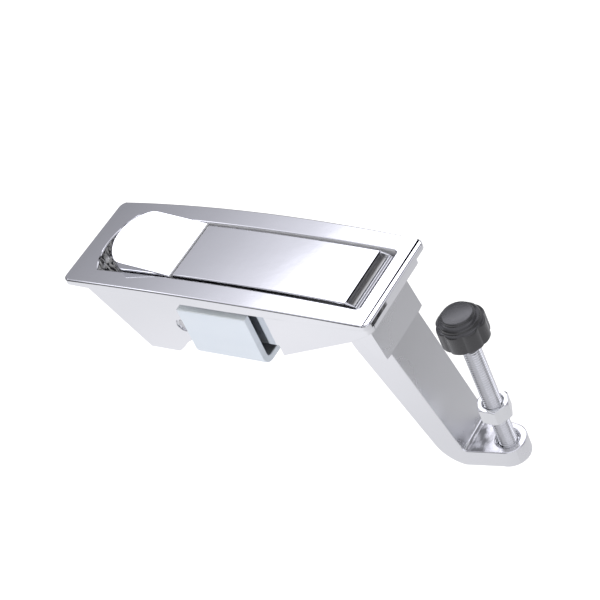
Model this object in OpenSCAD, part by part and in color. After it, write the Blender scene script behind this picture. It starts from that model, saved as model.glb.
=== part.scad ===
// Flush pushbutton compression latch with a swinging arm and an adjustable bumper.
// Length runs along X (button end is negative), width along Y, Z points out of the panel.
// The origin is the middle of the panel cutout on the back plane of the flange.

/* [Flange] */
// Overall length of the face
flange_length = 99; // [88:1:125]
// Width of the face at its middle
flange_width = 33; // [30:0.5:44]
// How far each long side bows out at the middle
flange_bow = 0.9; // [0.2:0.1:1.6]
// Thickness of the flange at its two ends
flange_edge = 1.6; // [1.2:0.1:3]
// How far the face is crowned at the middle
flange_crown = 1.75; // [0.6:0.05:2.6]
// Radius of the four corners of the face
flange_corner = 2.2; // [1.5:0.1:3.6]
// Rim left of the opening
rim_left = 6.4; // [4.5:0.1:10]
// Rim right of the opening
rim_right = 5.2; // [4.4:0.1:9]
// Rim beside the opening, at the middle
rim_side = 6; // [5:0.1:9]
// How far the left end of the opening bows out
opening_bow = 3.2; // [2:0.1:5]
// Corner radius of the opening
opening_corner = 1.2; // [0.6:0.1:2]

/* [Housing] */
// Side wall thickness
wall = 2.8; // [2:0.1:3.6]
// Thickness of the sloped floor of the button tray
tray_floor = 2.2; // [1.6:0.1:3]
// Depth of the button tray
tray_depth = 23.3; // [20.5:0.1:28]
// Length of the slope at the left of the tray
tray_slope = 14.2; // [11:0.1:16]
// Thickness of the wall at the right end
end_wall = 3.5; // [2.4:0.1:5]
// Depth of the wall at the right end
end_depth = 3.4; // [2.6:0.1:4.5]
// Distance from the centre to the right side of the bracket notch
notch_right = 15.2; // [13:0.1:18]
// Depth of the side walls right of the notch
side_depth = 17.6; // [15:0.1:22]
// Depth of the roof of the bracket notch
notch_roof = 13.8; // [12.5:0.1:14.5]
// Thickness of the web over the bracket
web = 2.5; // [1.8:0.1:3.5]
// Depth of the top of the boss for the clamp screw
boss_top = 5.5; // [4:0.1:8]
// Outside diameter of the boss for the clamp screw
boss_d = 9; // [7.4:0.1:11]

/* [Lever] */
// Distance from the centre to the edge between lever and button
lever_edge = 14.6; // [12:0.1:18]
// Gap beside the lever in the opening
lever_gap = 0.9; // [0.4:0.05:1.4]
// Height of the underside of the lever plate
lever_base = 0.6; // [0.2:0.05:1]
// Depth of the side lips under the lever plate
lip_depth = 2; // [0.8:0.1:2.2]
// Thickness of the side lips
lip = 1.6; // [1:0.1:2.4]
// Radius of the round barrel at the hinge
barrel_r = 3.4; // [3:0.1:4]
// Gap between the barrel and the end wall
barrel_gap = 0.3; // [0.25:0.05:0.8]
// Depth of the hinge axis below the back of the flange
pivot_depth = 1.6; // [1.4:0.1:2.4]
// Width of the groove between the plate and the barrel
groove = 2.4; // [1.6:0.1:2.8]
// Height of the bottom of the groove
groove_base = 0.4; // [0.2:0.05:0.8]
// Thickness of the lips that close the groove at both sides
groove_lip = 0.7; // [0.4:0.05:1.5]
// Thickness of the catch under the button edge of the lever
catch_t = 1.8; // [1.2:0.1:2.4]
// Width of the catch
catch_w = 8; // [4:0.5:9.5]

/* [Arm] */
// Width of the arm below the hub
arm_width = 15.4; // [11:0.1:17]
// Width of the arm at the foot
arm_width_foot = 14.2; // [11:0.1:15.4]
// Depth of the bottom of the wide hub
hub_depth = 16.8; // [13:0.1:20]
// Reach of the front face at the bottom of the hub, from the hinge axis
arm_front = 5; // [4.2:0.1:6.5]
// Slant of the front face of the arm, in degrees
arm_slant = 14.2; // [8:0.1:18]
// Thickness of the arm measured along X under the hub
arm_thick = 11; // [8:0.1:12.5]
// Depth of the top face of the foot
foot_depth = 52.5; // [44:0.5:62]
// Thickness of the foot
foot_t = 5.5; // [4.5:0.1:8]
// Distance from the hinge axis to the axis of the adjusting screw
reach = 23.7; // [21:0.1:28]
// Radius of the round end of the foot
foot_r = 5.3; // [4.5:0.1:7]
// Radius of the outer bend between arm and foot
bend_r = 9; // [5:0.5:11]
// Radius in the inner corner between arm and foot
fillet_r = 1.6; // [0.8:0.1:3]
// Wall left around the core at the back of the arm
core_wall = 2.6; // [1.8:0.1:3.2]

/* [Button] */
// Gap between the pressed button and the left end of the opening
button_end_gap = 2.5; // [1.5:0.1:4]
// Gap beside the button in the opening
button_gap = 0.3; // [0.25:0.05:0.6]
// Gap between the button and the lever at the face
split_gap = 0.35; // [0.25:0.05:0.8]
// Radius of the free end of the button
button_end_r = 12.5; // [11:0.1:20]
// Radius of the two corners at the free end of the button
button_corner = 4.5; // [2.5:0.1:6]
// Angle by which the button stands up when it is free
button_lift = 10; // [6:0.5:11]
// Depth of the skirt of the button
skirt_depth = 3.2; // [2:0.1:3.6]
// Wall thickness of the button
button_wall = 1.8; // [1.2:0.1:2.4]
// Distance from the lever edge to the button pin
button_pin_out = 1.1; // [0:0.1:2]
// Depth of the button pin
button_pin_depth = 12.2; // [11:0.1:13.5]
// Thickness of the two cheeks that hold the button on its pin
cheek = 2; // [1.4:0.1:2.6]
// Distance between the two cheeks
cheek_space = 11; // [9.8:0.1:13]
// How far the nose of the button reaches over the catch of the lever
nose_hold = 0.9; // [0.5:0.1:1]

/* [Pins and springs] */
// Diameter of the button pin
button_pin_d = 3; // [2:0.1:3.4]
// Diameter of the lever pin
lever_pin_d = 2.5; // [2:0.1:2.8]
// Diameter of the round recess around the end of the button pin
pin_recess_d = 4.2; // [3.6:0.1:5]
// Wire diameter of the button spring
wire_d = 0.9; // [0.6:0.05:1.1]
// Number of turns of the button spring
spring_turns = 5; // [3:1:6]

/* [Clamp] */
// Width of the clamp bracket along the latch
clamp_width = 22.3; // [18:0.1:23]
// Thickness of the bracket
clamp_t = 2; // [1.2:0.1:2.5]
// Gap between bracket and housing
clamp_gap = 1.2; // [0.4:0.1:2]
// Shift of the bracket from the centre of the latch
clamp_shift = -0.1; // [-0.6:0.1:1.5]
// Distance from the flange to the tips of the bracket
clamp_grip = 2.2; // [2.1:0.1:4]
// Depth of the outside of the bracket
clamp_depth = 19.6; // [18:0.1:24]
// Outside radius of the bends of the bracket
clamp_bend = 3.2; // [2.6:0.1:4.5]
// Diameter of the clamp screw
clamp_screw_d = 5; // [4:0.5:5]
// Diameter of the head of the clamp screw
clamp_head_d = 9; // [8:0.1:11]
// Height of the head of the clamp screw
clamp_head_h = 3.2; // [2.4:0.1:4.5]
// Thickness of the spring washer
spring_washer_t = 1.2; // [0.8:0.1:1.8]

/* [Adjuster] */
// Diameter of the adjusting screw
stud_d = 5; // [4:0.5:6]
// How far the adjusting screw stands out under the foot
stud_below = 2.5; // [0:0.1:6]
// Depth of the underside of the bumper
bumper_depth = 14.6; // [12:0.1:24]
// Distance across the flats of the lock nut and of the screw head
hex_af = 8; // [7:0.1:10]
// Height of the lock nut
nut_h = 4.7; // [3:0.1:6]
// Distance between the foot and the lock nut
nut_gap = 9.5; // [2:0.1:12]
// Height of the screw head
head_h = 3.5; // [2.5:0.1:4]
// Outside diameter of the bumper
bumper_d = 13.2; // [12.2:0.1:17]
// Diameter of the round face of the bumper
bumper_top_d = 8.4; // [7:0.1:9.4]
// Height of the bumper
bumper_h = 8.6; // [7.5:0.1:11]
// Height of the finger lobes around the bumper
bumper_skirt = 6.2; // [4.5:0.1:6.6]
// Number of finger lobes around the bumper
lobes = 8; // [5:1:10]
// Diameter of each finger lobe
lobe_d = 5.4; // [4:0.1:6]

/* [Hidden] */
$fn = 64;
fit = 0.05;
clear = 0.3;
big = 200;

// Face and opening
crown_r = (pow(flange_length / 2, 2) + pow(flange_crown, 2)) / (2 * flange_crown);
crown_z = flange_edge + flange_crown - crown_r;
bow_r = (pow(flange_length / 2, 2) + pow(flange_bow, 2)) / (2 * flange_bow);
bow_y = flange_width / 2 - bow_r;
corner_x = flange_length / 2 - flange_corner;
corner_y = sqrt(pow(bow_r - flange_corner, 2) - pow(corner_x, 2)) + bow_y;
open_left = rim_left - flange_length / 2;
open_right = flange_length / 2 - rim_right;
open_half = flange_width / 2 - rim_side;
open_r = (pow(open_half, 2) + pow(opening_bow, 2)) / (2 * opening_bow);
body_half = open_half + wall;
function face_z(x) = crown_z + sqrt(pow(crown_r, 2) - pow(x, 2));

// Lever and its hinge
lever_half = open_half - lever_gap;
plate_left = -lever_edge;
pivot_x = open_right - barrel_gap - barrel_r;
pivot_z = -pivot_depth;
plate_right = pivot_x - 0.7;
groove_right = plate_right + groove;
arm_front_x = pivot_x + arm_front;
arm_back_x = arm_front_x - arm_thick;
foot_bottom = -foot_depth - foot_t;
stud_x = pivot_x + reach;
front_drop = foot_depth - hub_depth;
front_foot_x = arm_front_x + front_drop * tan(arm_slant);
back_slant = arm_slant + 4;
back_foot_x = arm_back_x + (front_drop + foot_t) * tan(back_slant);

// Button
pin_x = plate_left - button_pin_out;
pin_z = -button_pin_depth;
free_x = plate_left - split_gap;
edge_up = face_z(lever_edge) - pin_z;
press_edge = pin_x + ((free_x - pin_x) - edge_up * sin(button_lift)) / cos(button_lift);
press_tip = open_left + button_end_gap;
button_len = press_edge - press_tip;
button_half = open_half - button_gap;
end_corner_y = button_half - button_corner;
end_corner_x = press_tip + button_end_r
    - sqrt(pow(button_end_r - button_corner, 2) - pow(end_corner_y, 2));
end_corner = [end_corner_x, end_corner_y];
cheek_in = cheek_space / 2;
hub_r = button_pin_d / 2 + 1.6;
catch_x = plate_left + 4;
catch_tip = plate_left + 1.9;
nose_x = catch_tip + nose_hold;
nose_z = pin_z + 6.8;
nose_tip_t = 1.2;
nose_root_t = 2.6;
catch_z = nose_z - clear;
coil_r = (button_pin_d + wire_d) / 2 + clear;
leg_up = 50;
leg_down = 30;
leg_cross = 20;
leg_up_length = (button_pin_depth - wire_d / 2 - clear
    + coil_r * cos(leg_up + leg_cross - button_lift)) / sin(leg_up - button_lift);
leg_down_length = (tray_depth - tray_floor - button_pin_depth - wire_d / 2 - clear
    - coil_r * cos(leg_down - leg_cross)) / sin(leg_down);

// Housing tray and notch
slope_top = open_left - tray_floor * 1.32;
slope_end = slope_top + tray_slope;
end_x = open_right + end_wall;
notch_left = pin_x + 5.3;
web_top = notch_roof - web;
slope_in = tray_floor * sqrt(pow(tray_slope, 2) + pow(tray_depth, 2)) / tray_depth;
slope_rate = tray_slope / tray_depth;

// Clamp
clamp_in = body_half + clamp_gap;
clamp_out = clamp_in + clamp_t;
clamp_top = -clamp_depth + clamp_t;
boss_end = clamp_top + 1.5;
boss_floor = -boss_top - 1.5;
washer_bottom = -clamp_depth - spring_washer_t;
screw_tip = boss_floor - 1.8;

// Adjuster
stud_end = foot_bottom - stud_below;
bumper_base = -bumper_depth;
nut_base = -foot_depth + nut_gap;
hex_r = hex_af / sqrt(3);
nut_bore = stud_d + 2 * fit;
nut_sink = 0.45;
shoulder_r = (bumper_d + bumper_top_d) / 4;
bumper_core_r = shoulder_r + 0.2;
lobe_turn = 8;

module along_y(width) {
    rotate([90, 0, 0])
        translate([0, 0, -width / 2])
            linear_extrude(height = width) children();
}

module rod_y(d, width) {
    rotate([90, 0, 0])
        translate([0, 0, -width / 2])
            cylinder(d = d, h = width);
}

// Corner piece between a corner and the arc of radius r that touches both of its sides
module corner_bit(p, a, b, r) {
    ua = (a - p) / norm(a - p);
    ub = (b - p) / norm(b - p);
    half = acos(ua * ub) / 2;
    t = r / tan(half);
    m = (ua + ub) / norm(ua + ub);
    difference() {
        polygon([p, p + ua * t, p + ub * t]);
        translate(p + m * (r / sin(half))) circle(r = r, $fn = 96);
    }
}

module rounded(w, h, r) {
    square([w - 2 * r, h], center = true);
    square([w, h - 2 * r], center = true);
    for (sx = [-1, 1], sy = [-1, 1])
        translate([sx * (w / 2 - r), sy * (h / 2 - r)]) circle(r = r);
}

module hexagon(af) {
    r = af / sqrt(3);
    polygon([for (i = [0:5]) [r * cos(60 * i), r * sin(60 * i)]]);
}

// Space under the crowned face
module under_face(drop = 0) {
    rotate([90, 0, 0])
        translate([0, crown_z, -big / 2])
            cylinder(r = crown_r - drop, h = big, $fn = 720);
}

module flange_outline() {
    intersection() {
        translate([0, bow_y]) circle(r = bow_r, $fn = 720);
        translate([0, -bow_y]) circle(r = bow_r, $fn = 720);
        union() {
            square([2 * corner_x, 2 * flange_width], center = true);
            square([flange_length, 2 * corner_y], center = true);
            for (sx = [-1, 1], sy = [-1, 1])
                translate([sx * corner_x, sy * corner_y]) circle(r = flange_corner);
        }
    }
}

module opening_outline() {
    intersection() {
        translate([(open_left + open_right) / 2, 0])
            rounded(open_right - open_left, 2 * open_half, opening_corner);
        union() {
            translate([open_left + open_r, 0]) circle(r = open_r, $fn = 128);
            translate([open_left + open_r, -big / 2]) square([big, big]);
        }
    }
}

module side_outline() {
    polygon([
        [slope_top, flange_edge],
        [slope_top, 0],
        [slope_end, -tray_depth],
        [pin_x - 6.1, -tray_depth],
        [pin_x - 3.7, -tray_depth + 2],
        [pin_x - 1.5, -tray_depth + 4.2],
        [pin_x + 0.4, -button_pin_depth - 5.7],
        [pin_x + 3, -button_pin_depth - 4.9],
        [notch_left, -notch_roof],
        [notch_right, -notch_roof],
        [notch_right, -side_depth],
        [open_right - 4.7, -end_depth - 4.5],
        [end_x, -end_depth],
        [end_x, flange_edge]
    ]);
}

// Hollow between the side walls, open at the face and under the arm
module pocket_outline() {
    polygon([
        [slope_top + slope_in, flange_edge + flange_crown + 1],
        [slope_top + slope_in, 0],
        [slope_top + slope_in + (tray_depth - tray_floor) * slope_rate, -tray_depth + tray_floor],
        [pin_x - 7, -tray_depth + tray_floor],
        [pin_x - 4.8, -tray_depth + tray_floor + 1.8],
        [pin_x - 2.7, -button_pin_depth - 5.2],
        [pin_x - 0.7, -button_pin_depth - 3.8],
        [pin_x + 2.5, -button_pin_depth - 3.2],
        [notch_left - 0.2, -web_top],
        [notch_right, -web_top],
        [notch_right, -big / 3],
        [open_right, -big / 3],
        [open_right, flange_edge + flange_crown + 1]
    ]);
}

module housing_shell() {
    difference() {
        union() {
            intersection() {
                linear_extrude(height = flange_edge + flange_crown + 1) flange_outline();
                under_face();
            }
            intersection() {
                along_y(2 * body_half) side_outline();
                translate([0, 0, -2 * tray_depth])
                    linear_extrude(height = 3 * tray_depth)
                        translate([(slope_top + end_x) / 2, 0])
                            rounded(end_x - slope_top, 2 * body_half, 2);
                under_face(0.8);
            }
        }
        // Opening through the face, and the hollow under it
        intersection() {
            translate([0, 0, -0.5])
                linear_extrude(height = flange_edge + flange_crown + 3) opening_outline();
            translate([-big / 2, -big / 2, -1]) cube([big, big, big / 2]);
        }
        intersection() {
            along_y(2 * open_half) pocket_outline();
            translate([-big / 2, -big / 2, -big / 2]) cube([big, big, big / 2 - 0.4]);
        }
    }
}

module housing() {
    color([0.82, 0.83, 0.85])
    difference() {
        union() {
            housing_shell();
            translate([clamp_shift, 0, boss_end])
                cylinder(d = boss_d, h = -boss_end - boss_top);
            // Ribs across the web on both sides of the boss
            for (sx = [-1, 1])
                translate([clamp_shift + sx * boss_d / 2 - 1, -open_half - 0.2, -web_top - 0.2])
                    cube([2, 2 * open_half + 0.4, 1.8]);
        }
        translate([pin_x, 0, pin_z]) rod_y(button_pin_d + 0.04, 2 * body_half + 1);
        for (s = [-1, 1])
            translate([pin_x, s * (body_half + 0.6), pin_z]) rod_y(pin_recess_d, 2.4);
        translate([pivot_x, 0, pivot_z]) rod_y(lever_pin_d + 0.04, 2 * body_half + 1);
        translate([clamp_shift, 0, boss_end - 1])
            cylinder(d = clamp_screw_d + 2 * fit, h = boss_floor - boss_end + 1);
    }
}

module lever_plate() {
    intersection() {
        translate([plate_left, -lever_half, lever_base])
            cube([plate_right - plate_left, 2 * lever_half, 4]);
        under_face();
    }
}

module arm_side() {
    front_top = [arm_front_x, -hub_depth];
    front_foot = [front_foot_x, -foot_depth];
    tip = [stud_x + foot_r, -foot_depth];
    tip_low = [stud_x + foot_r, foot_bottom];
    back_foot = [back_foot_x, foot_bottom];
    back_top = [arm_back_x, -hub_depth];
    difference() {
        polygon([
            [pivot_x + 2.6, pivot_z],
            [arm_front_x - 1.5, -hub_depth * 0.49],
            front_top,
            front_foot,
            tip,
            tip_low,
            back_foot,
            back_top,
            [arm_back_x - 2, -hub_depth * 0.5],
            [arm_back_x - 3.4, lever_base]
        ]);
        corner_bit(back_foot, back_top, tip_low, bend_r);
    }
    corner_bit(front_foot, front_top, tip, fillet_r);
}

module arm_core() {
    low = foot_depth - 3.5;
    polygon([
        [arm_back_x - 5, -hub_depth * 0.62],
        [arm_front_x - core_wall - 1.5, -hub_depth * 0.62],
        [arm_front_x - core_wall, -hub_depth],
        [arm_front_x - core_wall + (low - hub_depth) * tan(arm_slant), -low],
        [arm_back_x - 5 + (low - hub_depth) * tan(back_slant), -low]
    ]);
}

module arm_front_view(inset) {
    polygon([
        [-arm_width / 2 + inset, 2],
        [arm_width / 2 - inset, 2],
        [arm_width / 2 - inset, -hub_depth],
        [arm_width_foot / 2 - inset, -foot_depth],
        [arm_width_foot / 2 - inset, foot_bottom - 1],
        [-arm_width_foot / 2 + inset, foot_bottom - 1],
        [-arm_width_foot / 2 + inset, -foot_depth],
        [-arm_width / 2 + inset, -hub_depth]
    ]);
}

module foot_plan() {
    polygon([
        [arm_back_x - 6, -arm_width / 2 - 1],
        [front_foot_x - 1, -arm_width / 2 - 1],
        [front_foot_x - 1, -arm_width_foot / 2],
        [stud_x, -foot_r],
        [stud_x, foot_r],
        [front_foot_x - 1, arm_width_foot / 2],
        [front_foot_x - 1, arm_width / 2 + 1],
        [arm_back_x - 6, arm_width / 2 + 1]
    ]);
    translate([stud_x, 0]) circle(r = foot_r);
}

module across_x(depth) {
    rotate([90, 0, 90])
        linear_extrude(height = depth) children();
}

module lever() {
    hub_half = lever_half + 0.1;
    color([0.8, 0.81, 0.84])
    difference() {
        union() {
            lever_plate();
            // Side lips under the plate
            for (s = [-1, 1])
                translate([plate_left + 3, s * (lever_half - lip / 2) - lip / 2, lever_base - lip_depth])
                    cube([plate_right - plate_left - 3, lip, lip_depth + 0.4]);
            // Hinge barrel and the lips beside the groove
            translate([pivot_x, 0, pivot_z]) rod_y(2 * barrel_r, 2 * lever_half);
            along_y(2 * lever_half)
                polygon([
                    [plate_right - 0.5, face_z(plate_right) - 0.1],
                    [plate_right, face_z(plate_right) - 0.1],
                    [plate_right + 1.1, face_z(plate_right) - 0.35],
                    [groove_right + 0.1, groove_base + 0.9],
                    [groove_right + 0.1, -1],
                    [plate_right - 0.5, -1]
                ]);
            // Wide hub under the hinge
            along_y(2 * hub_half)
                polygon([
                    [pivot_x + 2.6, pivot_z],
                    [arm_front_x - 1.5, -hub_depth * 0.49],
                    [arm_front_x, -hub_depth],
                    [arm_front_x - 4.2, -hub_depth + 0.6],
                    [pivot_x - 4.2, -6.5],
                    [pivot_x - 4.6, -0.8],
                    [pivot_x, -0.8]
                ]);
            // Arm and foot
            intersection() {
                along_y(big) arm_side();
                across_x(big) arm_front_view(0);
                translate([0, 0, foot_bottom - 1])
                    linear_extrude(height = -foot_bottom + 4) foot_plan();
            }
            // Catch under the button edge of the lever
            along_y(catch_w)
                polygon([
                    [catch_x + 0.2, lever_base + 0.3],
                    [catch_x + catch_t + 2.2, lever_base + 0.3],
                    [catch_x + catch_t, lever_base - 2.2],
                    [catch_x + catch_t, catch_z - 1.6],
                    [catch_tip + 1.2, catch_z - 1.6],
                    [catch_tip, catch_z - 0.8],
                    [catch_tip, catch_z],
                    [catch_x, catch_z],
                    [catch_x, lever_base]
                ]);
        }
        // Groove between plate and barrel
        translate([plate_right, -lever_half + groove_lip, groove_base])
            cube([groove, 2 * (lever_half - groove_lip), 4]);
        // Core at the back of the arm
        intersection() {
            along_y(big) arm_core();
            across_x(big) arm_front_view(core_wall);
        }
        translate([pivot_x, 0, pivot_z]) rod_y(lever_pin_d + 2 * fit, big);
        translate([stud_x, 0, foot_bottom - 1]) cylinder(d = stud_d + 2 * fit, h = foot_t + 2);
        translate([stud_x, 0, -foot_depth - 0.8])
            cylinder(d1 = stud_d + 2 * fit, d2 = stud_d + 2, h = 0.9);
    }
}

module lever_pin() {
    color([0.72, 0.73, 0.74])
    translate([pivot_x, 0, pivot_z]) rod_y(lever_pin_d, 2 * body_half - 0.2);
}

// Outline of the button in its pressed place, drawn inwards by inset
module button_outline(inset) {
    half = button_half - inset;
    end = [press_tip + button_end_r, 0];
    corner = end_corner;
    reach_out = 3 * (corner - end);
    intersection() {
        translate(end) circle(r = button_end_r - inset, $fn = 128);
        polygon([end, end + reach_out, end + [reach_out[0], -reach_out[1]]]);
    }
    for (s = [-1, 1])
        translate([corner[0], s * corner[1]]) circle(r = button_corner - inset);
    polygon([
        end,
        corner,
        [corner[0], half],
        [press_edge - inset, half],
        [press_edge - inset, -half],
        [corner[0], -half],
        [corner[0], -corner[1]]
    ]);
}

module cheek_side() {
    top = -0.2;
    difference() {
        union() {
            polygon([
                [press_edge - 0.5, top],
                [press_edge - 0.62 * button_len, top],
                [pin_x - 2.4, pin_z - 1.7],
                [pin_x + 2, pin_z - 2],
                [pin_x + 2.4, pin_z + 1.6]
            ]);
            translate([pin_x, pin_z]) circle(r = hub_r);
        }
        translate([pin_x, pin_z]) circle(d = button_pin_d + 2 * fit);
    }
}

module button_pressed() {
    intersection() {
        translate([0, 0, -skirt_depth])
            linear_extrude(height = skirt_depth + 8) button_outline(0);
        under_face();
        difference() {
            translate([-big / 2, -big / 2, -big / 2]) cube(big);
            translate([0, 0, -skirt_depth - 1])
                linear_extrude(height = skirt_depth + 1) button_outline(button_wall);
        }
    }
    for (s = [-1, 1])
        translate([0, s * (cheek_in + cheek / 2), 0])
            along_y(cheek) cheek_side();
}

// Turns what is drawn in the pressed place up to where the button rests
module button_free() {
    translate([pin_x, 0, pin_z])
        rotate([0, button_lift, 0])
            translate([-pin_x, 0, -pin_z]) children();
}

module button() {
    color([0.92, 0.92, 0.93]) {
        button_free() button_pressed();
        // Nose that holds the catch of the lever
        along_y(2 * cheek_in + 0.4)
            polygon([
                [pin_x - 2.4, nose_z + nose_root_t],
                [pin_x + 1.4, nose_z + nose_root_t - 0.4],
                [nose_x, nose_z + nose_tip_t],
                [nose_x, nose_z],
                [pin_x + 0.9, nose_z],
                [pin_x - 2.6, nose_z - 1.4]
            ]);
    }
}

module button_pin() {
    color([0.72, 0.73, 0.74])
    translate([pin_x, 0, pin_z]) rod_y(button_pin_d, 2 * body_half - 1);
}

// Coil round the button pin, one leg up under the cap and one down on the floor of the tray
module button_spring() {
    pitch = wire_d * 0.96;
    span = pitch * (spring_turns - 1);
    color([0.6, 0.6, 0.62])
    translate([pin_x, 0, pin_z]) {
        rotate([90, 0, 0])
            rotate_extrude()
                for (i = [0:spring_turns - 1])
                    translate([coil_r, i * pitch - span / 2]) circle(d = wire_d, $fn = 32);
        translate([-coil_r * sin(leg_up + leg_cross), span / 2, -coil_r * cos(leg_up + leg_cross)])
            rotate([0, leg_up - 90, 0])
                cylinder(d = wire_d, h = leg_up_length, $fn = 32);
        translate([coil_r * sin(leg_down - leg_cross), -span / 2, -coil_r * cos(leg_down - leg_cross)])
            rotate([0, -90 - leg_down, 0])
                cylinder(d = wire_d, h = leg_down_length, $fn = 32);
    }
}

module clamp_bracket() {
    h = clamp_depth - clamp_grip;
    color([0.8, 0.86, 0.92])
    difference() {
        translate([clamp_shift, 0, 0])
            rotate([90, 0, 90])
                translate([0, 0, -clamp_width / 2])
                    linear_extrude(height = clamp_width)
                        difference() {
                            intersection() {
                                translate([0, -clamp_depth + h])
                                    rounded(2 * clamp_out, 2 * h, clamp_bend);
                                translate([-clamp_out, -clamp_depth]) square([2 * clamp_out, h]);
                            }
                            translate([0, -clamp_depth + clamp_t + h])
                                rounded(2 * clamp_in, 2 * h, clamp_bend - clamp_t);
                        }
        translate([clamp_shift, 0, -clamp_depth - 1])
            cylinder(d = clamp_screw_d + 0.5, h = clamp_t + 2);
    }
}

module clamp_screw() {
    color([0.78, 0.79, 0.8])
    translate([clamp_shift, 0, 0])
    difference() {
        union() {
            translate([0, 0, washer_bottom - 0.1])
                cylinder(d = clamp_screw_d, h = screw_tip - washer_bottom - 0.5);
            translate([0, 0, screw_tip - 0.6])
                cylinder(d1 = clamp_screw_d, d2 = clamp_screw_d - 1.2, h = 0.6);
            translate([0, 0, washer_bottom - clamp_head_h + 0.8])
                cylinder(d = clamp_head_d, h = clamp_head_h - 0.8);
            translate([0, 0, washer_bottom - clamp_head_h])
                cylinder(d1 = clamp_head_d - 1.6, d2 = clamp_head_d, h = 0.8);
        }
        // Cross recess
        for (a = [0, 90])
            rotate([0, 0, a])
                translate([-2.2, -0.5, washer_bottom - clamp_head_h - 1])
                    cube([4.4, 1, 2.6]);
    }
}

module spring_washer() {
    color([0.62, 0.63, 0.65])
    translate([clamp_shift, 0, washer_bottom + 0.02])
    difference() {
        cylinder(d = clamp_screw_d + 3.4, h = spring_washer_t - 0.04);
        translate([0, 0, -1]) cylinder(d = clamp_screw_d + 0.2, h = spring_washer_t + 2);
        rotate([25, 0, 70])
            translate([clamp_screw_d / 2 - 1, -0.25, -2]) cube([4, 0.5, 6]);
    }
}

module adjuster_stud() {
    color([0.75, 0.76, 0.78])
    translate([stud_x, 0, 0]) {
        translate([0, 0, stud_end + 0.6])
            cylinder(d = stud_d, h = bumper_base - stud_end - 0.6);
        translate([0, 0, stud_end]) cylinder(d1 = stud_d - 1.2, d2 = stud_d, h = 0.6);
    }
}

module adjuster_head() {
    color([0.75, 0.76, 0.78])
    translate([stud_x, 0, bumper_base + clear])
        intersection() {
            linear_extrude(height = head_h) hexagon(hex_af);
            cylinder(r1 = hex_r + head_h - 0.4, r2 = hex_r - 0.4, h = head_h);
        }
}

module lock_nut() {
    color([0.86, 0.87, 0.88])
    translate([stud_x, 0, nut_base])
        difference() {
            intersection() {
                linear_extrude(height = nut_h) hexagon(hex_af);
                cylinder(r1 = hex_af / 2 + 0.1, r2 = hex_af / 2 + 0.1 + nut_h * 1.7, h = nut_h);
                cylinder(r1 = hex_af / 2 + 0.1 + nut_h * 1.7, r2 = hex_af / 2 + 0.1, h = nut_h);
            }
            translate([0, 0, -1]) cylinder(d = nut_bore, h = nut_h + 2);
            // Countersink at both faces
            for (s = [-1, 1])
                translate([0, 0, nut_h / 2 + s * (nut_h / 2 - nut_sink)])
                    scale([1, 1, s])
                        cylinder(d1 = nut_bore, d2 = nut_bore + 4 * nut_sink, h = 2 * nut_sink);
        }
}

module lobe_outline() {
    circle(r = bumper_core_r);
    for (i = [0:lobes - 1])
        rotate(lobe_turn + 360 / lobes * i)
            translate([(bumper_d - lobe_d) / 2, 0]) circle(d = lobe_d);
}

module bumper() {
    color([0.08, 0.08, 0.09])
    translate([stud_x, 0, bumper_base])
        difference() {
            union() {
                // Round body with a stepped shoulder under its flat face
                rotate_extrude()
                    polygon([
                        [0, 0],
                        [bumper_core_r, 0],
                        [bumper_core_r, bumper_skirt + 0.3],
                        [shoulder_r, bumper_skirt + 0.9],
                        [shoulder_r - 0.5, bumper_skirt + 1.4],
                        [bumper_top_d / 2 + 0.1, bumper_skirt + 1.5],
                        [bumper_top_d / 2, bumper_h - 0.3],
                        [bumper_top_d / 2 - 0.3, bumper_h],
                        [0, bumper_h]
                    ]);
                // Lobes, rounded off at both ends
                intersection() {
                    linear_extrude(height = bumper_skirt) lobe_outline();
                    rotate_extrude()
                        polygon([
                            [0, 0],
                            [bumper_d / 2 - 0.6, 0],
                            [bumper_d / 2, 0.6],
                            [bumper_d / 2, bumper_skirt - 1],
                            [bumper_d / 2 - 0.3, bumper_skirt - 0.3],
                            [bumper_core_r, bumper_skirt],
                            [0, bumper_skirt]
                        ]);
                }
            }
            // Socket for the screw head, and the way in for the screw
            translate([0, 0, clear]) linear_extrude(height = head_h + 0.05) hexagon(hex_af + 0.06);
            translate([0, 0, -1]) cylinder(d = stud_d + 0.6, h = clear + 1.1);
        }
}

housing();
lever();
lever_pin();
button();
button_pin();
button_spring();
clamp_bracket();
clamp_screw();
spring_washer();
adjuster_stud();
adjuster_head();
lock_nut();
bumper();
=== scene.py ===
import math

import bmesh
import bpy
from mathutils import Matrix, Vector


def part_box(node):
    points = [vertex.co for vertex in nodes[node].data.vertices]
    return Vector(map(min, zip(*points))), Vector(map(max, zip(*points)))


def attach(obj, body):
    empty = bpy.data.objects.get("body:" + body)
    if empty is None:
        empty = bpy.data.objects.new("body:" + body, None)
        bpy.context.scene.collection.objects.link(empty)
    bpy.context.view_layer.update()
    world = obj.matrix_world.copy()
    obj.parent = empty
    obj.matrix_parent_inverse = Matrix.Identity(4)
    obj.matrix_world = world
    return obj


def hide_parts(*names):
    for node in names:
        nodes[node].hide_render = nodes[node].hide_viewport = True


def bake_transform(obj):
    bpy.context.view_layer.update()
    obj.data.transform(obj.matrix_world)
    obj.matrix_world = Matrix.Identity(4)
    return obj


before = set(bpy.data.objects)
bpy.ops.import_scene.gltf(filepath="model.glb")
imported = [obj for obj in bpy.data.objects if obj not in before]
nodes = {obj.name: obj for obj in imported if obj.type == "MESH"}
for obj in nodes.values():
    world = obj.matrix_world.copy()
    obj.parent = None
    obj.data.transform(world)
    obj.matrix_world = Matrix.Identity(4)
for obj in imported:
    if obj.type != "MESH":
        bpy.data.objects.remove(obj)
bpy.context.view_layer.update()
mm = 0.001
print("frame loaded:", len(nodes), "nodes")

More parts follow.
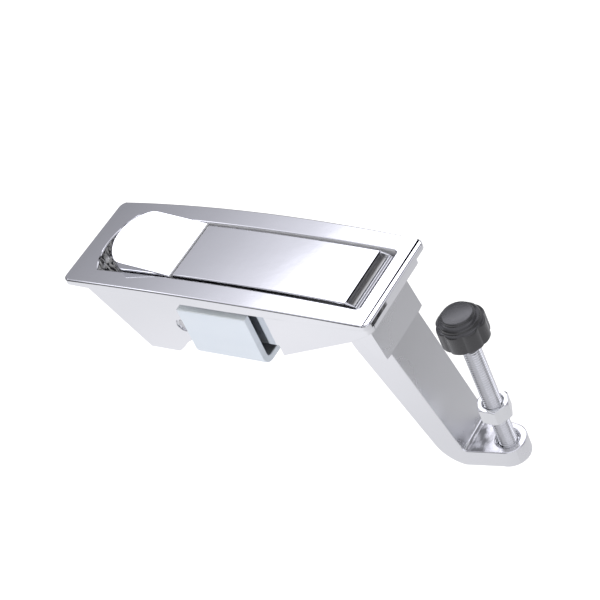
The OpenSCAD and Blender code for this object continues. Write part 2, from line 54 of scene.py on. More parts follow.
# Camera, matched to the photograph's own perspective: millimetres and degrees
view = {
    "place": (310.7, -275.0, 315.7),
    "turn": (47.8, 18.892, 29.848),
    "lens": 120.0,
    "sensor": 36.0,
    "shift": (-0.04645, 0.01165),
    "clipStart": 10.0,
}


def makeCamera():
    data = bpy.data.cameras.new("camera")
    data.lens = view["lens"]
    data.sensor_width = view["sensor"]
    data.shift_x, data.shift_y = view["shift"]
    data.clip_start = view["clipStart"] * mm
    cam = bpy.data.objects.new("camera", data)
    cam.location = Vector(view["place"]) * mm
    cam.rotation_euler = [math.radians(angle) for angle in view["turn"]]
    bpy.context.scene.collection.objects.link(cam)
    bpy.context.scene.camera = cam


# Stage, in metres: white for the camera, with a graded floor and sky that only the metal's reflections see
studio = {
    "floorZ": -0.12,
    "floorReach": 4.0,
    "floorWhite": 0.86,
    "floorGlow": 0.2,
    # The floor's tones run along a line at this angle, from the front left to the back right: (metres, tone)
    "floorAngle": 36.0,
    "floorTones": [(-0.30, 0.84), (-0.18, 0.83), (-0.13, 0.91), (-0.10, 0.88), (-0.07, 0.83), (-0.035, 0.75),
                   (0.02, 0.72), (0.12, 0.68), (0.19, 0.60), (0.26, 0.46), (0.36, 0.34)],
    "floorTint": (0.985, 0.985, 1.03),
    # Far out they pass into one plain tone
    "floorFade": (0.45, 0.9),
    "floorFarTone": 0.40,
    # The sky's tones go up each of its five parts: (sine of the height, tone)
    "frontTones": [(0.0, 0.05), (0.3, 0.08), (0.45, 0.3), (0.6, 0.5), (0.7, 0.5), (0.9, 0.9)],
    "frontRightTones": [(0.0, 0.35), (0.12, 1.1), (0.5, 0.9), (0.75, 0.5), (1.0, 0.9)],
    "backTones": [(0.0, 0.07), (0.2, 0.12), (0.36, 0.20), (0.469, 0.33), (0.5225, 0.41), (0.552, 0.47),
                  (0.5948, 0.61), (0.629, 0.79), (0.643, 0.90), (0.66, 1.5), (0.68, 2.2), (0.74, 2.8),
                  (0.79, 1.3), (0.86, 0.8), (1.0, 0.7)],
    "backRightTones": [(0.0, 0.10), (0.25, 0.12), (0.36, 0.5), (0.43, 1.1), (0.52, 1.1), (0.585, 0.30),
                       (0.75, 0.20), (0.85, 0.35), (0.93, 1.2), (1.0, 1.0)],
    "farRightTones": [(0.0, 0.6), (0.25, 0.75), (0.43, 1.1), (0.52, 1.1), (0.585, 0.30),
                      (0.75, 0.20), (0.85, 0.35), (0.93, 1.2), (1.0, 1.0)],
    "skyTint": (0.96, 0.96, 1.06),
    # Where one part passes into the next, along X or along Y of the direction looked in
    "frontToRight": (0.0, 0.35),
    "backToRight": (-0.2, 0.02),
    "rightToFarRight": (0.5, 0.545),
    "frontToBack": (-0.25, 0.2),
}


def emptyMaterial(name):
    mat = bpy.data.materials.new(name)
    mat.use_nodes = True
    mat.node_tree.nodes.clear()
    out = mat.node_tree.nodes.new("ShaderNodeOutputMaterial")
    return mat, mat.node_tree, out


def feed(tree, socket, value):
    # Links an output to the socket, or sets the socket to a plain value or colour
    if isinstance(value, bpy.types.NodeSocket):
        tree.links.new(value, socket)
    elif socket.type == "RGBA":
        socket.default_value = (*value, 1)
    else:
        socket.default_value = value


def separated(tree, vector):
    node = tree.nodes.new("ShaderNodeSeparateXYZ")
    tree.links.new(vector, node.inputs[0])
    return node.outputs


def mixColour(tree, amount, first, second):
    node = tree.nodes.new("ShaderNodeMix")
    node.data_type = "RGBA"
    feed(tree, node.inputs[0], amount)
    feed(tree, node.inputs[6], first)
    feed(tree, node.inputs[7], second)
    return node.outputs[2]


def mapped(tree, value, given, wanted=(0.0, 1.0), smooth=False):
    # Moves the value from the range given to the range wanted, and holds it there
    node = tree.nodes.new("ShaderNodeMapRange")
    if smooth:
        node.interpolation_type = "SMOOTHSTEP"
    node.inputs["From Min"].default_value, node.inputs["From Max"].default_value = given
    node.inputs["To Min"].default_value, node.inputs["To Max"].default_value = wanted
    tree.links.new(value, node.inputs["Value"])
    return node.outputs[0]


def toneRamp(tree, value, tones, tint):
    low, high = tones[0][0], tones[-1][0]
    ramp = tree.nodes.new("ShaderNodeValToRGB")
    stops = ramp.color_ramp.elements
    while len(stops) < len(tones):
        stops.new(1.0)
    for stop, (at, tone) in zip(stops, tones):
        stop.position = (at - low) / (high - low)
        stop.color = (tone * tint[0], tone * tint[1], tone * tint[2], 1)
    tree.links.new(mapped(tree, value, (low, high)), ramp.inputs[0])
    return ramp.outputs[0]


def makeFloor():
    z, reach = studio["floorZ"], studio["floorReach"]
    mesh = bpy.data.meshes.new("floor")
    corners = [(-reach, -reach, z), (reach, -reach, z), (reach, reach, z), (-reach, reach, z)]
    mesh.from_pydata(corners, [], [(0, 1, 2, 3)])
    floor = bpy.data.objects.new("floor", mesh)
    bpy.context.scene.collection.objects.link(floor)
    mat, tree, out = emptyMaterial("floorPaper")
    paper = tree.nodes.new("ShaderNodeBsdfDiffuse")
    feed(tree, paper.inputs["Color"], (studio["floorWhite"],) * 3)
    glow = tree.nodes.new("ShaderNodeEmission")
    glow.inputs["Strength"].default_value = studio["floorGlow"]
    white = tree.nodes.new("ShaderNodeAddShader")
    tree.links.new(paper.outputs[0], white.inputs[0])
    tree.links.new(glow.outputs[0], white.inputs[1])

    place = tree.nodes.new("ShaderNodeTexCoord").outputs["Object"]
    line = tree.nodes.new("ShaderNodeVectorMath")
    line.operation = "DOT_PRODUCT"
    angle = math.radians(studio["floorAngle"])
    line.inputs[1].default_value = (math.cos(angle), math.sin(angle), 0)
    far = tree.nodes.new("ShaderNodeVectorMath")
    far.operation = "LENGTH"
    tree.links.new(place, line.inputs[0])
    tree.links.new(place, far.inputs[0])
    graded = toneRamp(tree, line.outputs["Value"], studio["floorTones"], studio["floorTint"])
    fade = mapped(tree, far.outputs["Value"], studio["floorFade"], smooth=True)
    seen = tree.nodes.new("ShaderNodeEmission")
    tree.links.new(mixColour(tree, fade, graded, (studio["floorFarTone"],) * 3), seen.inputs["Color"])
    ray = tree.nodes.new("ShaderNodeLightPath")
    pick = tree.nodes.new("ShaderNodeMixShader")
    tree.links.new(ray.outputs["Is Glossy Ray"], pick.inputs[0])
    tree.links.new(white.outputs[0], pick.inputs[1])
    tree.links.new(seen.outputs[0], pick.inputs[2])
    tree.links.new(pick.outputs[0], out.inputs["Surface"])
    mesh.materials.append(mat)


def makeWorld():
    world = bpy.data.worlds.new("studio")
    bpy.context.scene.world = world
    world.use_nodes = True
    tree = world.node_tree
    direction = separated(tree, tree.nodes.new("ShaderNodeTexCoord").outputs["Generated"])

    def sky(part):
        return toneRamp(tree, direction["Z"], studio[part], studio["skyTint"])

    def passing(axis, edge):
        return mapped(tree, direction[axis], studio[edge], smooth=True)

    front = mixColour(tree, passing("X", "frontToRight"), sky("frontTones"), sky("frontRightTones"))
    right = mixColour(tree, passing("Y", "rightToFarRight"), sky("backRightTones"), sky("farRightTones"))
    back = mixColour(tree, passing("X", "backToRight"), sky("backTones"), right)
    graded = mixColour(tree, passing("Y", "frontToBack"), front, back)
    ray = tree.nodes.new("ShaderNodeLightPath")
    seen = mixColour(tree, ray.outputs["Is Glossy Ray"], (1, 1, 1), graded)
    tree.links.new(seen, tree.nodes["Background"].inputs["Color"])


# Softbox high up behind the latch and to its left, in metres; reflections don't see it
softbox = {
    "size": (0.5, 0.3),
    "watts": 1.6,
    "place": (-0.28, 0.30, 0.52),
    "aim": (0.03, 0, 0),
}


def makeSoftbox():
    lamp = bpy.data.lights.new("softbox", "AREA")
    lamp.shape = "RECTANGLE"
    lamp.size, lamp.size_y = softbox["size"]
    lamp.energy = softbox["watts"]
    box = bpy.data.objects.new("softbox", lamp)
    box.location = softbox["place"]
    box.rotation_euler = (Vector(softbox["aim"]) - box.location).to_track_quat("-Z", "Y").to_euler()
    box.visible_glossy = False
    bpy.context.scene.collection.objects.link(box)


# Finishes. Noise is (scale, detail) and may have a stretch. The pattern moves the colour between two shades,
# the wear moves the roughness, and the grain raises the skin by a height in mm; where wear or grain isn't
# given, it is the one before it. Contrast sharpens the shades, and between two places along X, in mm, they
# can give way to one plain colour
finishes = {
    # Bright plate on a polished casting: a trace of orange peel, a little haze in patches. The foot keeps the
    # waves of the mould and the face is buffed: the grain's strength between two heights in mm
    "brightChrome": {
        "metallic": 1.0, "pattern": (90, 4), "colours": ((0.885, 0.89, 0.905), (0.915, 0.92, 0.935)),
        "roughness": (0.035, 0.075), "grain": (420, 2), "height": 0.02,
        "buffedBetween": (-48, -6), "buffed": (1.0, 0.16),
    },
    # Plated but never buffed: upright ripples that break the reflection into streaks, with light and dark
    # streaks also painted into the colour as painted reflection
    "rippledChromeAndPaintedReflection": {
        "metallic": 0.3, "pattern": (1300, 4, (1, 1, 0.3)), "contrast": (0.43, 0.52),
        "colours": ((0.08, 0.08, 0.09), (0.98, 0.98, 0.99)), "roughness": (0.1, 0.3), "height": 0.3,
    },
    # Front of the arm: plated over a blasted face, so nothing shows in it sharply
    "satinChrome": {
        "metallic": 1.0, "pattern": (70, 4), "colours": ((0.86, 0.865, 0.88), (0.91, 0.915, 0.93)),
        "roughness": (0.24, 0.32), "grain": (600, 3), "height": 0.006,
    },
    # Top of the foot: plated over rough metal, mottled and darkened next to the arm as a painted reflection of
    # the arm, and plainer towards the tip
    "mottledChromeAndPaintedReflection": {
        "metallic": 1.0, "pattern": (520, 4, (1, 0.6, 1)), "contrast": (0.38, 0.62),
        "colours": ((0.38, 0.38, 0.385), (0.87, 0.87, 0.89)), "roughness": (0.14, 0.34), "height": 0.03,
        "plainFrom": (62, 68), "plain": (0.80, 0.80, 0.82),
    },
    # Thin plate deep in the slots, where the bath hardly reached
    "slotWall": {
        "metallic": 0.15, "pattern": (240, 3), "colours": ((0.62, 0.62, 0.64), (0.82, 0.82, 0.84)),
        "roughness": (0.32, 0.48), "height": 0.01,
    },
    # Floor of the finger groove: a plain dark colour by the plate's end, painted as the groove's shade, and
    # bright where it rises to the barrel
    "grooveFloorPaintedShade": {
        "metallic": 0.3, "pattern": (240, 3), "colours": ((0.78, 0.78, 0.80), (0.92, 0.92, 0.94)),
        "roughness": (0.32, 0.48), "height": 0.01,
        "plainFrom": (41.0, 40.3), "plain": (0.17, 0.165, 0.165),
    },
    # Inside of the castings: thin dull plate over the rough skin of the mould, its colour darkened as painted
    # shade for the hollows and recesses
    "dullCastingAndShade": {
        "metallic": 1.0, "pattern": (160, 5), "colours": ((0.20, 0.20, 0.205), (0.36, 0.36, 0.37)),
        "roughness": (0.38, 0.62), "grain": (900, 4), "height": 0.03,
    },
    # Rolled steel with a pale blue passivated zinc: cloudy patches and faint rolling lines
    "blueZinc": {
        "metallic": 0.8, "pattern": (60, 3), "colours": ((0.83, 0.90, 0.965), (0.90, 0.945, 0.99)),
        "wear": (260, 2, (0.12, 1, 1)), "roughness": (0.28, 0.40), "height": 0.006,
    },
    # Cut edge of the strap: dull pale zinc over the shear marks
    "blueZincEdge": {
        "metallic": 0.2, "pattern": (900, 3, (1, 1, 0.2)),
        "colours": ((0.82, 0.88, 0.92), (0.92, 0.96, 0.99)), "roughness": (0.38, 0.52), "height": 0.01,
    },
    # Bright zinc on turned and cold-formed steel
    "brightZinc": {
        "metallic": 1.0, "pattern": (300, 3), "colours": ((0.86, 0.87, 0.88), (0.96, 0.965, 0.97)),
        "roughness": (0.09, 0.2), "grain": (1500, 2), "height": 0.006,
    },
    # Ground steel rod
    "groundSteel": {
        "metallic": 1.0, "colour": (0.66, 0.66, 0.67), "pattern": (1800, 2, (1, 0.1, 1)),
        "roughness": (0.18, 0.34), "height": 0.004,
    },
    # Drawn spring wire
    "springWire": {
        "metallic": 1.0, "pattern": (700, 3), "colours": ((0.36, 0.36, 0.37), (0.54, 0.54, 0.55)),
        "roughness": (0.26, 0.42), "height": 0.008,
    },
    # Moulded rubber: satin black with fine eroded texture and dusty high spots
    "satinRubber": {
        "metallic": 0.0, "pattern": (240, 5), "colours": ((0.007, 0.007, 0.008), (0.018, 0.018, 0.020)),
        "roughness": (0.2, 0.32), "grain": (1600, 3), "height": 0.012,
        "gloss": {"Specular IOR Level": 0.8, "Coat Weight": 0.5, "Coat Roughness": 0.16},
    },
}
noiseRange = (0.3, 0.7)  # Where nearly all of a noise lies


def noise(tree, place, scale, detail, stretch=(1, 1, 1)):
    mapping = tree.nodes.new("ShaderNodeMapping")
    mapping.inputs["Scale"].default_value = stretch
    tex = tree.nodes.new("ShaderNodeTexNoise")
    tex.inputs["Scale"].default_value = scale
    tex.inputs["Detail"].default_value = detail
    tree.links.new(place, mapping.inputs[0])
    tree.links.new(mapping.outputs[0], tex.inputs["Vector"])
    return tex.outputs["Fac"]


def alongAxis(tree, place, axis, limits, wanted=(0.0, 1.0)):
    # From one value to another between two places on an axis, given in mm
    return mapped(tree, separated(tree, place)[axis], [limit * mm for limit in limits], wanted)


def finishColour(tree, place, look, pattern):
    if "colour" in look:
        return look["colour"]
    shade = mapped(tree, pattern, look["contrast"]) if "contrast" in look else pattern
    colour = mixColour(tree, shade, *look["colours"])
    if "plain" in look:
        colour = mixColour(tree, alongAxis(tree, place, "X", look["plainFrom"]), colour, look["plain"])
    return colour


def makeFinish(name):
    look = finishes[name]
    mat, tree, out = emptyMaterial(name)
    shader = tree.nodes.new("ShaderNodeBsdfPrincipled")
    shader.inputs["Metallic"].default_value = look["metallic"]
    for socket, value in look.get("gloss", {}).items():
        shader.inputs[socket].default_value = value
    place = tree.nodes.new("ShaderNodeTexCoord").outputs["Object"]
    pattern = noise(tree, place, *look["pattern"])
    wear = noise(tree, place, *look["wear"]) if "wear" in look else pattern
    grain = noise(tree, place, *look["grain"]) if "grain" in look else wear
    feed(tree, shader.inputs["Base Color"], finishColour(tree, place, look, pattern))
    feed(tree, shader.inputs["Roughness"], mapped(tree, wear, noiseRange, look["roughness"]))
    bump = tree.nodes.new("ShaderNodeBump")
    bump.inputs["Strength"].default_value = 1.0
    bump.inputs["Distance"].default_value = look["height"] * mm
    if "buffed" in look:
        strength = alongAxis(tree, place, "Z", look["buffedBetween"], look["buffed"])
        feed(tree, bump.inputs["Strength"], strength)
    tree.links.new(grain, bump.inputs["Height"])
    tree.links.new(bump.outputs[0], shader.inputs["Normal"])
    tree.links.new(shader.outputs[0], out.inputs["Surface"])
    return mat


# Castings and pressings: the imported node's own shape, with its sharp edges rounded. Points within weld mm are
# joined, triangles that lean less than flat degrees become one face, and edges past sharp degrees are rounded
rounding = {
    "weld": 0.001,
    "flat": 0.12,
    "sharp": 28.0,
    "steps": 3,
    "evenWeight": 90,
}


def mergedCopy(name, source, flat, share=None):
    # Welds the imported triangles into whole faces, and gives each sharp edge its share of any rounding
    work = bmesh.new()
    work.from_mesh(nodes[source].data)
    bmesh.ops.remove_doubles(work, verts=work.verts, dist=rounding["weld"] * mm)
    bmesh.ops.dissolve_limit(work, angle_limit=math.radians(flat), verts=work.verts, edges=work.edges)
    if share:
        weight = work.edges.layers.float.new("bevel_weight_edge")
        for edge in work.edges:
            if len(edge.link_faces) == 2 and edge.calc_face_angle(0) > math.radians(rounding["sharp"]):
                edge[weight] = share((edge.verts[0].co + edge.verts[1].co) / 2 / mm)
    mesh = bpy.data.meshes.new(name)
    work.to_mesh(mesh)
    work.free()
    for layer in ("custom_normal", "sharp_face", "sharp_edge"):
        if layer in mesh.attributes:
            mesh.attributes.remove(mesh.attributes[layer])
    mesh.materials.clear()
    obj = bpy.data.objects.new(name, mesh)
    bpy.context.scene.collection.objects.link(obj)
    return obj


def smoothUpTo(mesh, degrees):
    mesh.shade_smooth()
    mesh.set_sharp_from_angle(angle=math.radians(degrees))


def applied(obj):
    # Bakes the modifiers into a plain mesh
    graph = bpy.context.evaluated_depsgraph_get()
    mesh = bpy.data.meshes.new_from_object(obj.evaluated_get(graph), depsgraph=graph)
    mesh.name = obj.name
    obj.modifiers.clear()
    obj.data = mesh
    return obj


def fullShare(middle):
    return 1.0


def softened(name, source, width, share=fullShare, flat=rounding["flat"]):
    obj = mergedCopy(name, source, flat, share)
    smoothUpTo(obj.data, rounding["sharp"])
    edge = obj.modifiers.new("roundedEdges", "BEVEL")
    edge.width = width * mm
    edge.segments = rounding["steps"]
    edge.limit_method = "WEIGHT"
    edge.use_clamp_overlap = False
    edge.miter_outer = "MITER_ARC"
    even = obj.modifiers.new("wideFacesFlat", "WEIGHTED_NORMAL")
    even.keep_sharp = True
    even.weight = rounding["evenWeight"]
    return applied(obj)


# The crowned face is one long arc about a centre far below, in mm; the button's own arc is tilted about its
# pin. A corner within reach of the arc gets the arc's normal, if its own makes at least this cosine with it
crown = {
    "radius": 700.95,
    "centreZ": -697.6,
    "pin": (-15.7, -12.2),
    "buttonTilt": 10.0,
    "reach": 0.05,
    "leastCosine": 0.996,
}


def crownCentre(tilted):
    centre = Vector((0, crown["centreZ"]))
    if not tilted:
        return centre
    pin = Vector(crown["pin"])
    away = centre - pin
    angle = math.radians(crown["buttonTilt"])
    turned = Vector((away.x * math.cos(angle) + away.y * math.sin(angle),
                     away.y * math.cos(angle) - away.x * math.sin(angle)))
    return pin + turned


def smoothCrown(obj, tilted=False):
    mesh = obj.data
    centre = crownCentre(tilted) * mm
    radius = crown["radius"] * mm
    normals = [Vector(corner.vector) for corner in mesh.corner_normals]
    changed = 0
    for face in mesh.polygons:
        for corner in face.loop_indices:
            point = mesh.vertices[mesh.loops[corner].vertex_index].co
            out = Vector((point.x - centre.x, 0, point.z - centre.y))
            onArc = abs(out.length - radius) < crown["reach"] * mm
            if onArc and normals[corner].dot(out.normalized()) > crown["leastCosine"]:
                normals[corner] = out.normalized()
                changed += 1
    mesh.normals_split_custom_set(normals)
    print("  crowned corners on", obj.name, changed)


noLimit = 1000  # mm, past any face


def below(high):
    return (-noLimit, high)


def above(low):
    return (low, noLimit)


def within(reach):
    return (-reach, reach)


def paint(obj, names, zones=()):
    # The first finish covers the piece. A zone puts one on the faces whose middles lie in its box, in mm, and
    # that look its way at least so squarely; a later zone goes over an earlier one
    for name in names:
        obj.data.materials.append(finish[name])
    for name, zone in zones:
        slot = names.index(name)
        box = [zone.get(axis, within(noLimit)) for axis in "xyz"]
        way = Vector(zone.get("facing", (0, 0, 0)))
        for face in obj.data.polygons:
            inside = all(low < at < high for at, (low, high) in zip(face.center / mm, box))
            if inside and face.normal.dot(way) > zone.get("least", -1):
                face.material_index = slot


# Geometry Nodes pieces: a flat sheet of points, wrapped round an axis by a rule
sheetWeld = 0.002  # mm, between points of the sheet that meet


def newTree(name, sockets):
    tree = bpy.data.node_groups.new(name, "GeometryNodeTree")
    for label, kind in sockets:
        tree.interface.new_socket(label, in_out="INPUT", socket_type="NodeSocket" + kind)
    tree.interface.new_socket("Geometry", in_out="OUTPUT", socket_type="NodeSocketGeometry")
    return tree, tree.nodes.new("NodeGroupInput").outputs, tree.nodes.new("NodeGroupOutput")


def calc(tree, kind, *values):
    node = tree.nodes.new("ShaderNodeMath")
    node.operation = kind
    for socket, value in zip(node.inputs, values):
        feed(tree, socket, value)
    return node.outputs[0]


def sheet(tree, columns, rows):
    # Unit grid, with how far along and across it each point lies
    grid = tree.nodes.new("GeometryNodeMeshGrid")
    feed(tree, grid.inputs["Vertices X"], columns)
    feed(tree, grid.inputs["Vertices Y"], rows)
    point = separated(tree, tree.nodes.new("GeometryNodeInputPosition").outputs[0])
    return grid.outputs["Mesh"], calc(tree, "ADD", point["X"], 0.5), calc(tree, "ADD", point["Y"], 0.5)


def wrapped(tree, mesh, radius, angle, height):
    where = tree.nodes.new("ShaderNodeCombineXYZ")
    feed(tree, where.inputs["X"], calc(tree, "MULTIPLY", radius, calc(tree, "COSINE", angle)))
    feed(tree, where.inputs["Y"], calc(tree, "MULTIPLY", radius, calc(tree, "SINE", angle)))
    feed(tree, where.inputs["Z"], height)
    place = tree.nodes.new("GeometryNodeSetPosition")
    tree.links.new(mesh, place.inputs["Geometry"])
    tree.links.new(where.outputs[0], place.inputs["Position"])
    return place.outputs[0]


def endDisc(tree, radius, height, count, flip):
    disc = tree.nodes.new("GeometryNodeMeshCircle")
    disc.fill_type = "NGON"
    feed(tree, disc.inputs["Vertices"], count)
    feed(tree, disc.inputs["Radius"], radius)
    lift = tree.nodes.new("ShaderNodeCombineXYZ")
    feed(tree, lift.inputs["Z"], height)
    place = tree.nodes.new("GeometryNodeTransform")
    tree.links.new(disc.outputs["Mesh"], place.inputs["Geometry"])
    tree.links.new(lift.outputs[0], place.inputs["Translation"])
    if not flip:
        return place.outputs[0]
    turn = tree.nodes.new("GeometryNodeFlipFaces")
    tree.links.new(place.outputs[0], turn.inputs["Mesh"])
    return turn.outputs[0]


def closeTree(tree, out, parts, centre, material):
    join = tree.nodes.new("GeometryNodeJoinGeometry")
    for part in parts:
        tree.links.new(part, join.inputs[0])
    weld = tree.nodes.new("GeometryNodeMergeByDistance")
    weld.inputs["Distance"].default_value = sheetWeld * mm
    move = tree.nodes.new("GeometryNodeTransform")
    tree.links.new(centre, move.inputs["Translation"])
    real = tree.nodes.new("GeometryNodeRealizeInstances")
    dress = tree.nodes.new("GeometryNodeSetMaterial")
    tree.links.new(material, dress.inputs["Material"])
    chain = (join, weld, move, real, dress, out)
    for first, second in zip(chain, chain[1:]):
        tree.links.new(first.outputs[0], second.inputs[0])


def grown(name, tree, values, sharp):
    # Runs the tree on an empty mesh and keeps the result as a plain mesh
    obj = bpy.data.objects.new(name, bpy.data.meshes.new(name))
    bpy.context.scene.collection.objects.link(obj)
    mod = obj.modifiers.new(name, "NODES")
    mod.node_group = tree
    for item in tree.interface.items_tree:
        if item.in_out == "INPUT":
            mod[item.identifier] = values[item.name]
    mesh = applied(obj).data
    mesh.materials.clear()
    mesh.materials.append(values["Material"])
    mesh.polygons.foreach_set("material_index", [0] * len(mesh.polygons))
    smoothUpTo(mesh, sharp)
    return obj


# M5 thread of the adjusting screw, sizes in mm. Each turn has rows of points from one root to the next, and
# its flanks lie between these shares of a pitch from the crest's middle
thread = {
    "root": 2.02,
    "crest": 2.48,
    "pitch": 0.8,
    "perTurn": 36,
    "rows": 7,
    "flank": (0.36, 0.14),
    "tipShare": 0.92,
    "sharp": 50,
}


def threadTree():
    tree, given, out = newTree("screwThread", [
        ("Centre", "Vector"), ("Root", "Float"), ("Crest", "Float"), ("Pitch", "Float"),
        ("Bottom", "Float"), ("Top", "Float"), ("Per Turn", "Int"), ("Material", "Material")])
    length = calc(tree, "SUBTRACT", given["Top"], given["Bottom"])
    turns = calc(tree, "ADD", calc(tree, "DIVIDE", length, given["Pitch"]), 1.0)
    columns = calc(tree, "ROUND", calc(tree, "MULTIPLY_ADD", turns, given["Per Turn"], 1.0))
    mesh, along, across = sheet(tree, columns, thread["rows"])
    turn = calc(tree, "MULTIPLY", along, turns)
    pitches = calc(tree, "ADD", turn, calc(tree, "SUBTRACT", across, 1.0))
    height = calc(tree, "ADD", given["Bottom"], calc(tree, "MULTIPLY", pitches, given["Pitch"]))
    height = calc(tree, "MINIMUM", calc(tree, "MAXIMUM", height, given["Bottom"]), given["Top"])
    # Root, flank, crest, flank, root across one pitch
    away = calc(tree, "ABSOLUTE", calc(tree, "SUBTRACT", across, 0.5))
    ridge = calc(tree, "SUBTRACT", given["Crest"], given["Root"])
    radius = calc(tree, "MULTIPLY_ADD", ridge, mapped(tree, away, thread["flank"]), given["Root"])
    # Chamfer at both ends
    tip = calc(tree, "MULTIPLY", given["Root"], thread["tipShare"])
    room = calc(tree, "MINIMUM", calc(tree, "SUBTRACT", height, given["Bottom"]),
                calc(tree, "SUBTRACT", given["Top"], height))
    radius = calc(tree, "MINIMUM", radius, calc(tree, "ADD", tip, room))
    skin = wrapped(tree, mesh, radius, calc(tree, "MULTIPLY", turn, 2 * math.pi), height)
    low = endDisc(tree, tip, given["Bottom"], given["Per Turn"], True)
    high = endDisc(tree, tip, given["Top"], given["Per Turn"], False)
    closeTree(tree, out, (skin, low, high), given["Centre"], given["Material"])
    return tree


# Rubber cap: round body with a stepped shoulder, its skirt cut back to eight finger lobes. Millimetres and
# degrees; the outline is (radius, height) from the bore to the middle of the top, inside the span
capShape = {
    "lobes": 8, "lobeTurn": 8.0, "lobeRadius": 3.0, "lobeOut": 3.6, "blend": 0.35, "perLobe": 24,
    "outline": [(2.75, 0.9), (2.85, 0.25), (3.3, 0.0), (4.8, 0.0), (6.1, 0.0), (6.5, 0.25), (6.6, 0.9),
                (6.6, 2.8), (6.6, 4.7), (6.5, 5.5), (6.1, 5.98), (5.7, 6.15), (5.55, 6.4), (5.45, 6.8),
                (5.15, 7.2), (4.75, 7.5), (4.4, 7.66), (4.25, 7.9), (4.2, 8.2), (4.0, 8.4), (3.3, 8.48),
                (1.8, 8.57), (0.0, 8.6)],
    "span": (7.0, 9.0),
    "rowsPerPoint": 4,
    "sharp": 60,
}


def shapeCurve(tree, factor, values, top):
    node = tree.nodes.new("ShaderNodeFloatCurve")
    points = node.mapping.curves[0].points
    while len(points) < len(values):
        points.new(0.5, 0.5)
    for i, value in enumerate(values):
        points[i].location = (i / (len(values) - 1), value / top)
        points[i].handle_type = "AUTO_CLAMPED"
    node.mapping.update()
    feed(tree, node.inputs["Value"], factor)
    return calc(tree, "MULTIPLY", node.outputs[0], top * mm)


def capTree():
    tree, given, out = newTree("rubberCap", [
        ("Centre", "Vector"), ("Lobes", "Int"), ("Lobe Turn", "Float"), ("Lobe Radius", "Float"),
        ("Lobe Out", "Float"), ("Blend", "Float"), ("Per Lobe", "Int"), ("Material", "Material")])
    radii, heights = zip(*capShape["outline"])
    widest, tallest = capShape["span"]
    columns = calc(tree, "MULTIPLY_ADD", given["Lobes"], given["Per Lobe"], 1.0)
    mesh, along, across = sheet(tree, columns, capShape["rowsPerPoint"] * (len(radii) - 1) + 1)
    radius = shapeCurve(tree, across, radii, widest)
    height = shapeCurve(tree, across, heights, tallest)
    # Angle from the nearest lobe, and the reach of that lobe's circle at this angle
    lobes = calc(tree, "MULTIPLY_ADD", along, given["Lobes"], 0.5)
    share = calc(tree, "SUBTRACT", calc(tree, "FRACT", lobes), 0.5)
    bend = calc(tree, "DIVIDE", calc(tree, "MULTIPLY", share, 2 * math.pi), given["Lobes"])
    inward = calc(tree, "POWER", calc(tree, "MULTIPLY", given["Lobe Out"], calc(tree, "SINE", bend)), 2.0)
    outward = calc(tree, "MULTIPLY", given["Lobe Out"], calc(tree, "COSINE", bend))
    chordSquare = calc(tree, "SUBTRACT", calc(tree, "POWER", given["Lobe Radius"], 2.0), inward)
    lobe = calc(tree, "ADD", outward, calc(tree, "SQRT", chordSquare))
    radius = calc(tree, "SMOOTH_MIN", radius, lobe, given["Blend"])
    angle = calc(tree, "MULTIPLY_ADD", along, 2 * math.pi, given["Lobe Turn"])
    skin = wrapped(tree, mesh, radius, angle, height)
    closeTree(tree, out, (skin,), given["Centre"], given["Material"])
    return tree


makeCamera()
makeFloor()
makeWorld()
makeSoftbox()
print("camera and stage ready")

finish = {name: makeFinish(name) for name in finishes}
print("finishes ready:", len(finish))


def dressed(obj, body, node):
    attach(obj, body)
    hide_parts(node)
    print("  piece", obj.name, len(obj.data.polygons), "faces")


# Bezel and body, one casting. The rim of the face gets the full rounding, the walls below it a share, and
# their tight corners past the end walls none
bezel = {
    "rounding": 0.4,
    "rimAbove": 1.3,
    "wallShare": 0.35,
    "endWalls": 43.5,
    "finishes": ("brightChrome", "dullCastingAndShade", "rippledChromeAndPaintedReflection", "slotWall"),
    "zones": [
        # Inside of the body, and the far wall of the opening above it, darkened as painted shade
        ("dullCastingAndShade", {"x": (-42.6, 44.35), "y": within(10.6), "z": below(-0.6)}),
        ("dullCastingAndShade", {"x": (-42.6, 44.35), "y": within(10.6), "facing": (0, -1, 0), "least": 0.9}),
        # Slope of the tray, which carries the painted reflection streaks, the tray's near wall, and the far
        # wall along the lever
        ("rippledChromeAndPaintedReflection", {"x": below(-30), "y": within(10.4), "z": below(1.5),
                           "facing": (1, 0, 0), "least": 0.3}),
        ("brightChrome", {"x": below(-14), "y": within(10.6), "facing": (0, 1, 0), "least": 0.9}),
        ("slotWall", {"x": above(-14), "y": within(10.6), "facing": (0, -1, 0), "least": 0.9}),
    ],
}


def bezelShare(middle):
    if middle.z > bezel["rimAbove"]:
        return 1.0
    return 0.0 if abs(middle.x) > bezel["endWalls"] else bezel["wallShare"]


housing = softened("bezelHousing", "housing", bezel["rounding"], bezelShare)
paint(housing, bezel["finishes"], bezel["zones"])
smoothCrown(housing)
dressed(housing, "housing", "housing")

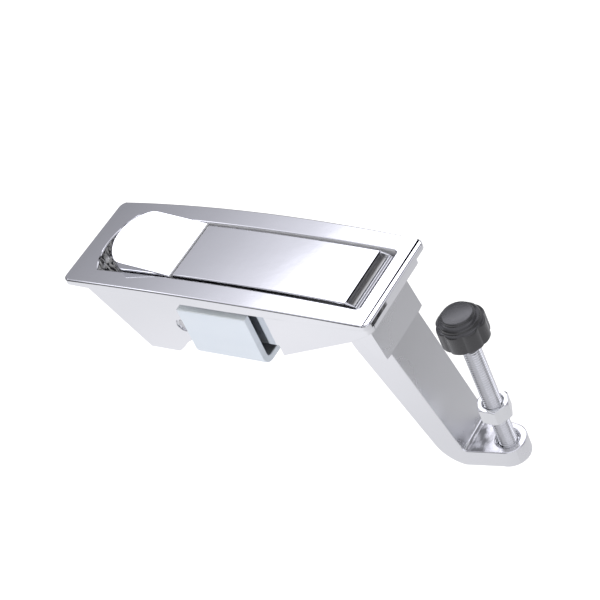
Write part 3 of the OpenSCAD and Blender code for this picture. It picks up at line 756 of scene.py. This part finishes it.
# Plate, hinge barrel, arm and foot, one casting. Below the panel, the side edges of the barrel and of the hub
# stay sharp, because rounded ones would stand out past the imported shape
lever = {
    "rounding": 0.3,
    "sharpPastX": 40,
    "sharpPastY": 9.3,
    "sharpBelow": 0,
    "finishes": ("brightChrome", "dullCastingAndShade", "mottledChromeAndPaintedReflection", "satinChrome", "grooveFloorPaintedShade"),
    "zones": [
        # Underside of the plate, cored back of the arm, and the plate's end above the finger groove, darkened
        # as painted shade
        ("dullCastingAndShade", {"x": below(38), "z": below(0.75), "facing": (0, 0, -1), "least": 0.9}),
        ("dullCastingAndShade", {"y": within(5.15), "z": (-50, -9), "facing": (-1, 0, 0), "least": 0.2}),
        ("dullCastingAndShade", {"x": (39.5, 40.3), "y": within(9), "z": above(0.5),
                         "facing": (1, 0, 0), "least": 0.5}),
        # Floor of the finger groove, with painted shade by the plate's end
        ("grooveFloorPaintedShade", {"x": (39.9, 42.5), "y": within(9), "z": below(1.6),
                         "facing": (0, 0, 1), "least": 0.5}),
        # Top of the foot, darkened next to the arm as its painted reflection, and front of the arm
        ("mottledChromeAndPaintedReflection", {"z": below(-51), "facing": (0, 0, 1), "least": 0.9}),
        ("satinChrome", {"z": below(-12), "facing": (1, 0, 0), "least": 0.8}),
    ],
}


def leverShare(middle):
    onSide = abs(middle.y) > lever["sharpPastY"] and middle.x > lever["sharpPastX"]
    return 0.0 if onSide and middle.z < lever["sharpBelow"] else 1.0


leverCast = softened("leverCasting", "lever", lever["rounding"], leverShare)
paint(leverCast, lever["finishes"], lever["zones"])
smoothCrown(leverCast)
dressed(leverCast, "lever", "lever")

# Button, with duller plate on the end that it turns to the lever
button = {
    "rounding": 0.28,
    "finishes": ("brightChrome", "slotWall"),
    "zones": [("slotWall", {"z": above(-4), "facing": (1, 0, 0), "least": 0.8})],
}
buttonCast = softened("buttonCap", "button", button["rounding"])
paint(buttonCast, button["finishes"], button["zones"])
smoothCrown(buttonCast, tilted=True)
dressed(buttonCast, "button", "button")

# Strap that clamps the panel, with its cut edge showing on top
strap = {
    "rounding": 0.22,
    "finishes": ("blueZinc", "blueZincEdge"),
    "zones": [("blueZincEdge", {"z": above(-6), "facing": (0, 0, 1), "least": 0.6})],
}
bracket = softened("clampStrap", "clamp_bracket", strap["rounding"])
paint(bracket, strap["finishes"], strap["zones"])
dressed(bracket, "clamp", "clamp_bracket")
print("castings and bracket ready")

# The threaded shank stands in its node's own place
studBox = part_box("adjuster_stud")
studX = (studBox[0][0] + studBox[1][0]) / 2
stud = grown("adjustingScrew", threadTree(), {
    "Centre": (studX, 0, 0), "Root": thread["root"] * mm, "Crest": thread["crest"] * mm,
    "Pitch": thread["pitch"] * mm, "Bottom": studBox[0][2], "Top": studBox[1][2],
    "Per Turn": thread["perTurn"], "Material": finish["brightZinc"]}, thread["sharp"])
dressed(stud, "adjuster", "adjuster_stud")

# Facets of the nut's cones that lean less than flat degrees are one face
lockNut = {"rounding": 0.15, "flat": 4.0}
nut = softened("lockNut", "lock_nut", lockNut["rounding"], flat=lockNut["flat"])
paint(nut, ["brightZinc"])
dressed(nut, "lock_nut", "lock_nut")

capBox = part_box("bumper")
cap = grown("rubberBumper", capTree(), {
    "Centre": (studX, 0, capBox[0][2]), "Lobes": capShape["lobes"],
    "Lobe Turn": math.radians(capShape["lobeTurn"]), "Lobe Radius": capShape["lobeRadius"] * mm,
    "Lobe Out": capShape["lobeOut"] * mm, "Blend": capShape["blend"] * mm,
    "Per Lobe": capShape["perLobe"], "Material": finish["satinRubber"]}, capShape["sharp"])
dressed(cap, "bumper", "bumper")
print("screw, nut and rubber cap ready")

# The return spring keeps its imported shape, welded into whole faces and smoothed, and stays in place
coil = {"flat": 0.01, "sharp": 40, "wind": 1.2}
spring = mergedCopy("returnSpring", "button_spring", coil["flat"])
smoothUpTo(spring.data, coil["sharp"])
paint(spring, ["springWire"])
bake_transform(spring)
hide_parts("button_spring")

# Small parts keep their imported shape
smallParts = {
    "adjuster_head": "brightZinc",
    "clamp_screw": "brightZinc",
    "spring_washer": "springWire",
    "lever_pin": "groundSteel",
    "button_pin": "groundSteel",
}
for node, name in smallParts.items():
    nodes[node].data.materials.clear()
    nodes[node].data.materials.append(finish[name])
print("spring and small parts ready")

bpy.context.scene.view_settings.view_transform = "Standard"
